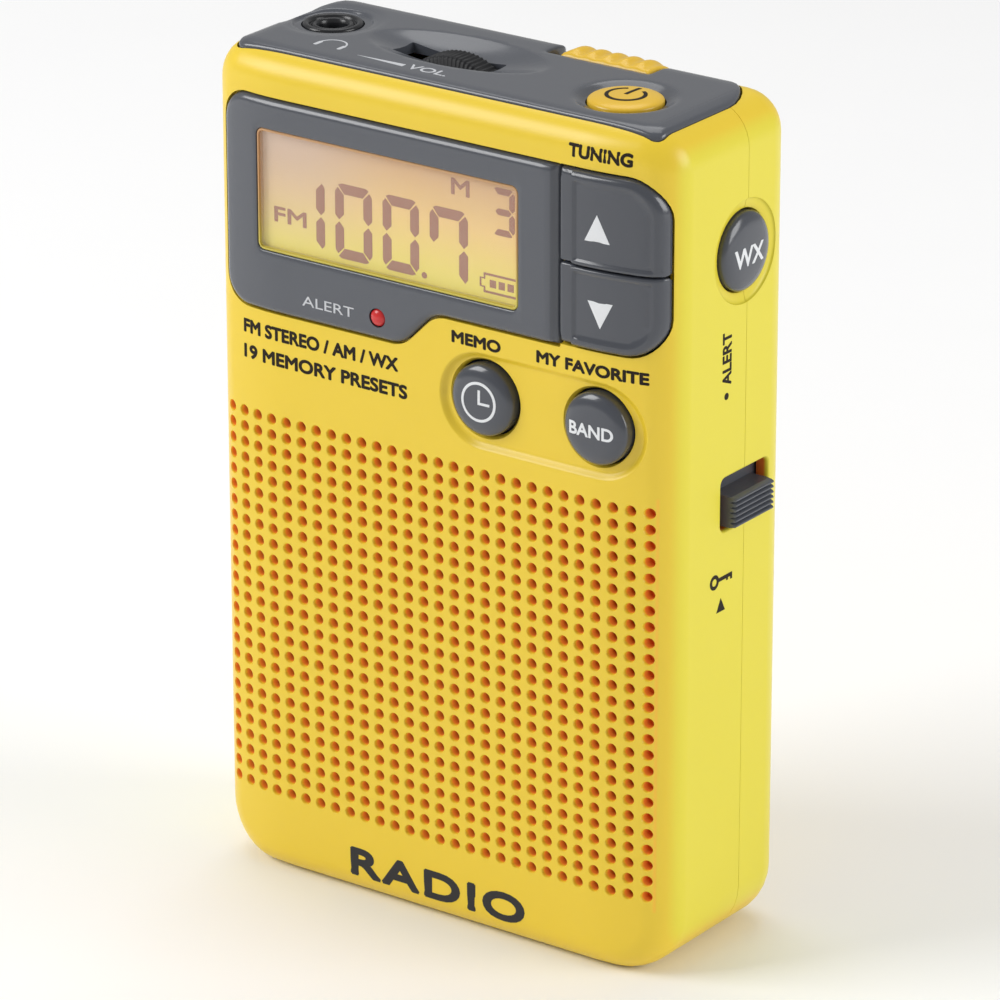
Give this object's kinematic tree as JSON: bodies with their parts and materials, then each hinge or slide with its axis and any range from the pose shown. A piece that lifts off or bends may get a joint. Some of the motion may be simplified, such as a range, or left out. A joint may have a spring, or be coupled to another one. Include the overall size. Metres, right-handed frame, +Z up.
{
  "type": "portable radio",
  "caption": "Pocket portable radio with display, tuning and function keys, speaker grille, volume wheel, slide switches and a headphone socket.",
  "frame": {"origin": "middle of the bottom face that the radio stands on", "axes": "+Z up along the height, +Y from the front face to the back, +X to the right seen from the front"},
  "size_m": [0.0725, 0.0302, 0.1127],
  "materials": {
    "yellow_plastic": "satin moulded plastic",
    "yellow_gloss": "smooth moulded plastic",
    "grey_plastic": "satin moulded plastic",
    "dark_gloss": "semi-gloss moulded plastic",
    "black_plastic": "matt",
    "clear_window": "clear, polished",
    "lcd": "backlit amber, dark segments",
    "white_plastic": "matt",
    "strip_rubber": "matt",
    "red_lens": "clear red, polished",
    "circuit_board": "satin lacquer",
    "bright_metal": "plated",
    "ferrite": "matt",
    "copper_wire": "enamelled",
    "cloth": "woven and pressed fibre",
    "cell_wrap": "printed wrap, plain"
  },
  "bodies": {
    "case": {"front_case": "yellow_plastic", "rear_case": "yellow_plastic", "top_plate": "grey_plastic", "display_bezel": "grey_plastic", "display_lens": "clear_window", "display_holder": "white_plastic", "lcd_glass": "lcd", "backlight_guide": "white_plastic", "elastomer_strip": "strip_rubber", "alert_led": "red_lens", "main_board": "circuit_board", "side_board": "circuit_board", "tuner_chip": "black_plastic", "tuning_up_switch": "black_plastic", "tuning_down_switch": "black_plastic", "memo_switch": "black_plastic", "band_switch": "black_plastic", "weather_switch": "black_plastic", "power_switch": "black_plastic", "lock_switch": "bright_metal", "mode_switch": "bright_metal", "headphone_jack": "black_plastic", "jack_bushing": "black_plastic", "volume_pot": "black_plastic", "ferrite_rod": "ferrite", "ferrite_coil": "copper_wire", "speaker_cloth": "cloth", "speaker_frame": "bright_metal", "speaker_cone": "cloth", "speaker_magnet": "ferrite", "battery_cell_1": "cell_wrap", "battery_cell_2": "cell_wrap", "contact_spring_1": "bright_metal", "contact_spring_2": "bright_metal", "contact_plate_1": "bright_metal", "contact_plate_2": "bright_metal", "case_screw_1": "bright_metal", "case_screw_2": "bright_metal", "case_screw_3": "bright_metal", "case_screw_4": "bright_metal"},
    "tuning_up": {"tuning_up_key": "dark_gloss"},
    "tuning_down": {"tuning_down_key": "dark_gloss"},
    "memo": {"memo_key": "dark_gloss"},
    "band": {"band_key": "dark_gloss"},
    "weather": {"weather_key": "dark_gloss"},
    "power": {"power_key": "yellow_gloss"},
    "volume": {"volume_wheel": "black_plastic"},
    "lock": {"lock_slider": "dark_gloss"},
    "mode": {"mode_slider": "yellow_gloss"},
    "door": {"battery_door": "yellow_plastic"}
  },
  "joints": [
    {"name": "tuning_up_press", "type": "slide", "parent": "case", "child": "tuning_up", "axis": [0, 1, 0], "range_m": [0, 0.0006], "stiffness_N_per_m": 2500, "springref_m": -0.0002},
    {"name": "tuning_down_press", "type": "slide", "parent": "case", "child": "tuning_down", "axis": [0, 1, 0], "range_m": [0, 0.0006], "stiffness_N_per_m": 2500, "springref_m": -0.0002},
    {"name": "memo_press", "type": "slide", "parent": "case", "child": "memo", "axis": [0, 1, 0], "range_m": [0, 0.0006], "stiffness_N_per_m": 2500, "springref_m": -0.0002},
    {"name": "band_press", "type": "slide", "parent": "case", "child": "band", "axis": [0, 1, 0], "range_m": [0, 0.0006], "stiffness_N_per_m": 2500, "springref_m": -0.0002},
    {"name": "weather_press", "type": "slide", "parent": "case", "child": "weather", "axis": [-1, 0, 0], "range_m": [0, 0.0006], "stiffness_N_per_m": 2500, "springref_m": -0.0002},
    {"name": "power_press", "type": "slide", "parent": "case", "child": "power", "axis": [0, 0, -1], "range_m": [0, 0.0006], "stiffness_N_per_m": 2500, "springref_m": -0.0002},
    {"name": "volume_turn", "type": "hinge", "parent": "case", "child": "volume", "pos_m": [-0.0057, 0, 0.1029], "axis": [0, 1, 0], "range_deg": [-135, 135]},
    {"name": "lock_slide", "type": "slide", "parent": "case", "child": "lock", "axis": [0, 0, 1], "range_m": [0, 0.0022]},
    {"name": "mode_slide", "type": "slide", "parent": "case", "child": "mode", "axis": [-1, 0, 0], "range_m": [0, 0.0019]},
    {"name": "door_slide", "type": "slide", "parent": "case", "child": "door", "axis": [0, 0, -1], "range_m": [0, 0.003]}
  ]
}
